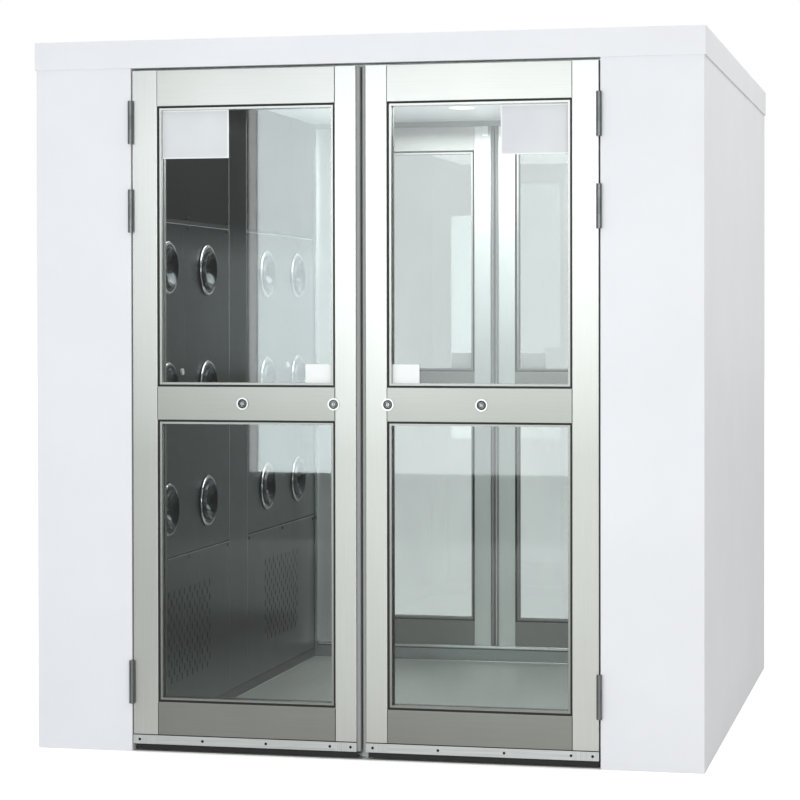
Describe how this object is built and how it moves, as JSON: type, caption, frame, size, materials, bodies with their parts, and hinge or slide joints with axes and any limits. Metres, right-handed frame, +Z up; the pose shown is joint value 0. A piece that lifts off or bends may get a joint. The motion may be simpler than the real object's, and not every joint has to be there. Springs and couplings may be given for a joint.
{
  "type": "cargo air shower",
  "caption": "Walk-through cleanroom cargo air shower: white side plenums, glazed stainless double-swing doors at both ends, nozzle walls and slotted return panels.",
  "frame": {"origin": "on the floor under the middle of the cabin", "axes": "+Z up, +X to the right when facing the front door from outside, -Y out of the front door, +Y towards the rear door"},
  "size_m": [2, 2.024, 2.1],
  "materials": {
    "white_powder_coat": "satin powder coat, cool white",
    "brushed_stainless": "fine brushed",
    "polished_stainless": "polished",
    "spun_aluminium": "spun and polished",
    "safety_glass": "clear toughened",
    "black_rubber": "matt",
    "chrome_plate": "bright",
    "white_plastic": "gloss",
    "lamp_diffuser": "opal",
    "filter_paper": "matt pleated",
    "filter_cloth": "matt",
    "galvanised_steel": "zinc coated",
    "cast_aluminium": "plain",
    "grey_paint": "satin"
  },
  "bodies": {
    "cabin": {"left_casing": "white_powder_coat", "left_wall_panels": "brushed_stainless", "right_casing": "white_powder_coat", "right_wall_panels": "brushed_stainless", "roof_cap": "white_powder_coat", "ceiling_panel": "white_powder_coat", "floor_tray": "brushed_stainless", "door_stops": "brushed_stainless", "return_grilles": "brushed_stainless", "nozzle_rings": "polished_stainless", "hepa_filters": "filter_paper", "prefilters": "filter_cloth", "fan_housings": "galvanised_steel", "downlights": "lamp_diffuser", "hinge_jamb_halves": "polished_stainless", "door_magnets": "chrome_plate", "control_box": "grey_paint", "presence_sensors": "white_plastic"},
    "front_left_leaf": {"front_left_leaf_frame": "brushed_stainless", "front_left_leaf_glass": "safety_glass", "front_left_leaf_seals": "black_rubber"},
    "front_left_edge_lock_plug": {"front_left_edge_lock_plug": "chrome_plate"},
    "front_left_rail_lock_plug": {"front_left_rail_lock_plug": "chrome_plate"},
    "front_right_leaf": {"front_right_leaf_frame": "brushed_stainless", "front_right_leaf_glass": "safety_glass", "front_right_leaf_seals": "black_rubber"},
    "front_right_edge_lock_plug": {"front_right_edge_lock_plug": "chrome_plate"},
    "front_right_rail_lock_plug": {"front_right_rail_lock_plug": "chrome_plate"},
    "rear_left_leaf": {"rear_left_leaf_frame": "brushed_stainless", "rear_left_leaf_glass": "safety_glass", "rear_left_leaf_seals": "black_rubber"},
    "rear_right_leaf": {"rear_right_leaf_frame": "brushed_stainless", "rear_right_leaf_glass": "safety_glass", "rear_right_leaf_seals": "black_rubber"},
    "left_nozzle_c1_r1": {"left_nozzle_c1_r1": "spun_aluminium"},
    "left_nozzle_c1_r2": {"left_nozzle_c1_r2": "spun_aluminium"},
    "left_nozzle_c1_r3": {"left_nozzle_c1_r3": "spun_aluminium"},
    "left_nozzle_c2_r1": {"left_nozzle_c2_r1": "spun_aluminium"},
    "left_nozzle_c2_r2": {"left_nozzle_c2_r2": "spun_aluminium"},
    "left_nozzle_c2_r3": {"left_nozzle_c2_r3": "spun_aluminium"},
    "left_nozzle_c3_r1": {"left_nozzle_c3_r1": "spun_aluminium"},
    "left_nozzle_c3_r2": {"left_nozzle_c3_r2": "spun_aluminium"},
    "left_nozzle_c3_r3": {"left_nozzle_c3_r3": "spun_aluminium"},
    "left_nozzle_c4_r1": {"left_nozzle_c4_r1": "spun_aluminium"},
    "left_nozzle_c4_r2": {"left_nozzle_c4_r2": "spun_aluminium"},
    "left_nozzle_c4_r3": {"left_nozzle_c4_r3": "spun_aluminium"},
    "right_nozzle_c1_r1": {"right_nozzle_c1_r1": "spun_aluminium"},
    "right_nozzle_c1_r2": {"right_nozzle_c1_r2": "spun_aluminium"},
    "right_nozzle_c1_r3": {"right_nozzle_c1_r3": "spun_aluminium"},
    "right_nozzle_c2_r1": {"right_nozzle_c2_r1": "spun_aluminium"},
    "right_nozzle_c2_r2": {"right_nozzle_c2_r2": "spun_aluminium"},
    "right_nozzle_c2_r3": {"right_nozzle_c2_r3": "spun_aluminium"},
    "right_nozzle_c3_r1": {"right_nozzle_c3_r1": "spun_aluminium"},
    "right_nozzle_c3_r2": {"right_nozzle_c3_r2": "spun_aluminium"},
    "right_nozzle_c3_r3": {"right_nozzle_c3_r3": "spun_aluminium"},
    "right_nozzle_c4_r1": {"right_nozzle_c4_r1": "spun_aluminium"},
    "right_nozzle_c4_r2": {"right_nozzle_c4_r2": "spun_aluminium"},
    "right_nozzle_c4_r3": {"right_nozzle_c4_r3": "spun_aluminium"},
    "left_impeller": {"left_impeller": "cast_aluminium"},
    "right_impeller": {"right_impeller": "cast_aluminium"}
  },
  "joints": [
    {"name": "front_left_leaf_swing", "type": "hinge", "parent": "cabin", "child": "front_left_leaf", "pos_m": [-0.698, -1.004, 1.017], "axis": [0, 0, -1], "range_deg": [0, 110]},
    {"name": "front_left_edge_lock_plug_turn", "type": "hinge", "parent": "front_left_leaf", "child": "front_left_edge_lock_plug", "pos_m": [-0.081, -1, 1.031], "axis": [0, -1, 0], "range_deg": [0, 90]},
    {"name": "front_left_rail_lock_plug_turn", "type": "hinge", "parent": "front_left_leaf", "child": "front_left_rail_lock_plug", "pos_m": [-0.357, -1, 1.031], "axis": [0, -1, 0], "range_deg": [0, 90]},
    {"name": "front_right_leaf_swing", "type": "hinge", "parent": "cabin", "child": "front_right_leaf", "pos_m": [0.698, -1.004, 1.017], "axis": [0, 0, 1], "range_deg": [0, 110]},
    {"name": "front_right_edge_lock_plug_turn", "type": "hinge", "parent": "front_right_leaf", "child": "front_right_edge_lock_plug", "pos_m": [0.081, -1, 1.031], "axis": [0, -1, 0], "range_deg": [0, 90]},
    {"name": "front_right_rail_lock_plug_turn", "type": "hinge", "parent": "front_right_leaf", "child": "front_right_rail_lock_plug", "pos_m": [0.357, -1, 1.031], "axis": [0, -1, 0], "range_deg": [0, 90]},
    {"name": "rear_left_leaf_swing", "type": "hinge", "parent": "cabin", "child": "rear_left_leaf", "pos_m": [-0.698, 1.004, 1.017], "axis": [0, 0, 1], "range_deg": [0, 110]},
    {"name": "rear_right_leaf_swing", "type": "hinge", "parent": "cabin", "child": "rear_right_leaf", "pos_m": [0.698, 1.004, 1.017], "axis": [0, 0, -1], "range_deg": [0, 110]},
    {"name": "left_nozzle_c1_r1_tilt", "type": "hinge", "parent": "cabin", "child": "left_nozzle_c1_r1", "pos_m": [-0.702, -0.70075, 0.69], "axis": [0, -1, 0], "range_deg": [-25, 25]},
    {"name": "left_nozzle_c1_r2_tilt", "type": "hinge", "parent": "cabin", "child": "left_nozzle_c1_r2", "pos_m": [-0.702, -0.70075, 1.063], "axis": [0, -1, 0], "range_deg": [-25, 25]},
    {"name": "left_nozzle_c1_r3_tilt", "type": "hinge", "parent": "cabin", "child": "left_nozzle_c1_r3", "pos_m": [-0.702, -0.70075, 1.436], "axis": [0, -1, 0], "range_deg": [-25, 25]},
    {"name": "left_nozzle_c2_r1_tilt", "type": "hinge", "parent": "cabin", "child": "left_nozzle_c2_r1", "pos_m": [-0.702, -0.32475, 0.69], "axis": [0, -1, 0], "range_deg": [-25, 25]},
    {"name": "left_nozzle_c2_r2_tilt", "type": "hinge", "parent": "cabin", "child": "left_nozzle_c2_r2", "pos_m": [-0.702, -0.32475, 1.063], "axis": [0, -1, 0], "range_deg": [-25, 25]},
    {"name": "left_nozzle_c2_r3_tilt", "type": "hinge", "parent": "cabin", "child": "left_nozzle_c2_r3", "pos_m": [-0.702, -0.32475, 1.436], "axis": [0, -1, 0], "range_deg": [-25, 25]},
    {"name": "left_nozzle_c3_r1_tilt", "type": "hinge", "parent": "cabin", "child": "left_nozzle_c3_r1", "pos_m": [-0.702, 0.32475, 0.69], "axis": [0, -1, 0], "range_deg": [-25, 25]},
    {"name": "left_nozzle_c3_r2_tilt", "type": "hinge", "parent": "cabin", "child": "left_nozzle_c3_r2", "pos_m": [-0.702, 0.32475, 1.063], "axis": [0, -1, 0], "range_deg": [-25, 25]},
    {"name": "left_nozzle_c3_r3_tilt", "type": "hinge", "parent": "cabin", "child": "left_nozzle_c3_r3", "pos_m": [-0.702, 0.32475, 1.436], "axis": [0, -1, 0], "range_deg": [-25, 25]},
    {"name": "left_nozzle_c4_r1_tilt", "type": "hinge", "parent": "cabin", "child": "left_nozzle_c4_r1", "pos_m": [-0.702, 0.70075, 0.69], "axis": [0, -1, 0], "range_deg": [-25, 25]},
    {"name": "left_nozzle_c4_r2_tilt", "type": "hinge", "parent": "cabin", "child": "left_nozzle_c4_r2", "pos_m": [-0.702, 0.70075, 1.063], "axis": [0, -1, 0], "range_deg": [-25, 25]},
    {"name": "left_nozzle_c4_r3_tilt", "type": "hinge", "parent": "cabin", "child": "left_nozzle_c4_r3", "pos_m": [-0.702, 0.70075, 1.436], "axis": [0, -1, 0], "range_deg": [-25, 25]},
    {"name": "right_nozzle_c1_r1_tilt", "type": "hinge", "parent": "cabin", "child": "right_nozzle_c1_r1", "pos_m": [0.702, -0.70075, 0.69], "axis": [0, 1, 0], "range_deg": [-25, 25]},
    {"name": "right_nozzle_c1_r2_tilt", "type": "hinge", "parent": "cabin", "child": "right_nozzle_c1_r2", "pos_m": [0.702, -0.70075, 1.063], "axis": [0, 1, 0], "range_deg": [-25, 25]},
    {"name": "right_nozzle_c1_r3_tilt", "type": "hinge", "parent": "cabin", "child": "right_nozzle_c1_r3", "pos_m": [0.702, -0.70075, 1.436], "axis": [0, 1, 0], "range_deg": [-25, 25]},
    {"name": "right_nozzle_c2_r1_tilt", "type": "hinge", "parent": "cabin", "child": "right_nozzle_c2_r1", "pos_m": [0.702, -0.32475, 0.69], "axis": [0, 1, 0], "range_deg": [-25, 25]},
    {"name": "right_nozzle_c2_r2_tilt", "type": "hinge", "parent": "cabin", "child": "right_nozzle_c2_r2", "pos_m": [0.702, -0.32475, 1.063], "axis": [0, 1, 0], "range_deg": [-25, 25]},
    {"name": "right_nozzle_c2_r3_tilt", "type": "hinge", "parent": "cabin", "child": "right_nozzle_c2_r3", "pos_m": [0.702, -0.32475, 1.436], "axis": [0, 1, 0], "range_deg": [-25, 25]},
    {"name": "right_nozzle_c3_r1_tilt", "type": "hinge", "parent": "cabin", "child": "right_nozzle_c3_r1", "pos_m": [0.702, 0.32475, 0.69], "axis": [0, 1, 0], "range_deg": [-25, 25]},
    {"name": "right_nozzle_c3_r2_tilt", "type": "hinge", "parent": "cabin", "child": "right_nozzle_c3_r2", "pos_m": [0.702, 0.32475, 1.063], "axis": [0, 1, 0], "range_deg": [-25, 25]},
    {"name": "right_nozzle_c3_r3_tilt", "type": "hinge", "parent": "cabin", "child": "right_nozzle_c3_r3", "pos_m": [0.702, 0.32475, 1.436], "axis": [0, 1, 0], "range_deg": [-25, 25]},
    {"name": "right_nozzle_c4_r1_tilt", "type": "hinge", "parent": "cabin", "child": "right_nozzle_c4_r1", "pos_m": [0.702, 0.70075, 0.69], "axis": [0, 1, 0], "range_deg": [-25, 25]},
    {"name": "right_nozzle_c4_r2_tilt", "type": "hinge", "parent": "cabin", "child": "right_nozzle_c4_r2", "pos_m": [0.702, 0.70075, 1.063], "axis": [0, 1, 0], "range_deg": [-25, 25]},
    {"name": "right_nozzle_c4_r3_tilt", "type": "hinge", "parent": "cabin", "child": "right_nozzle_c4_r3", "pos_m": [0.702, 0.70075, 1.436], "axis": [0, 1, 0], "range_deg": [-25, 25]},
    {"name": "left_impeller_spin", "type": "hinge", "parent": "cabin", "child": "left_impeller", "pos_m": [-0.81, 0, 1.865], "axis": [1, 0, 0], "continuous": true},
    {"name": "right_impeller_spin", "type": "hinge", "parent": "cabin", "child": "right_impeller", "pos_m": [0.81, 0, 1.865], "axis": [1, 0, 0], "continuous": true}
  ]
}
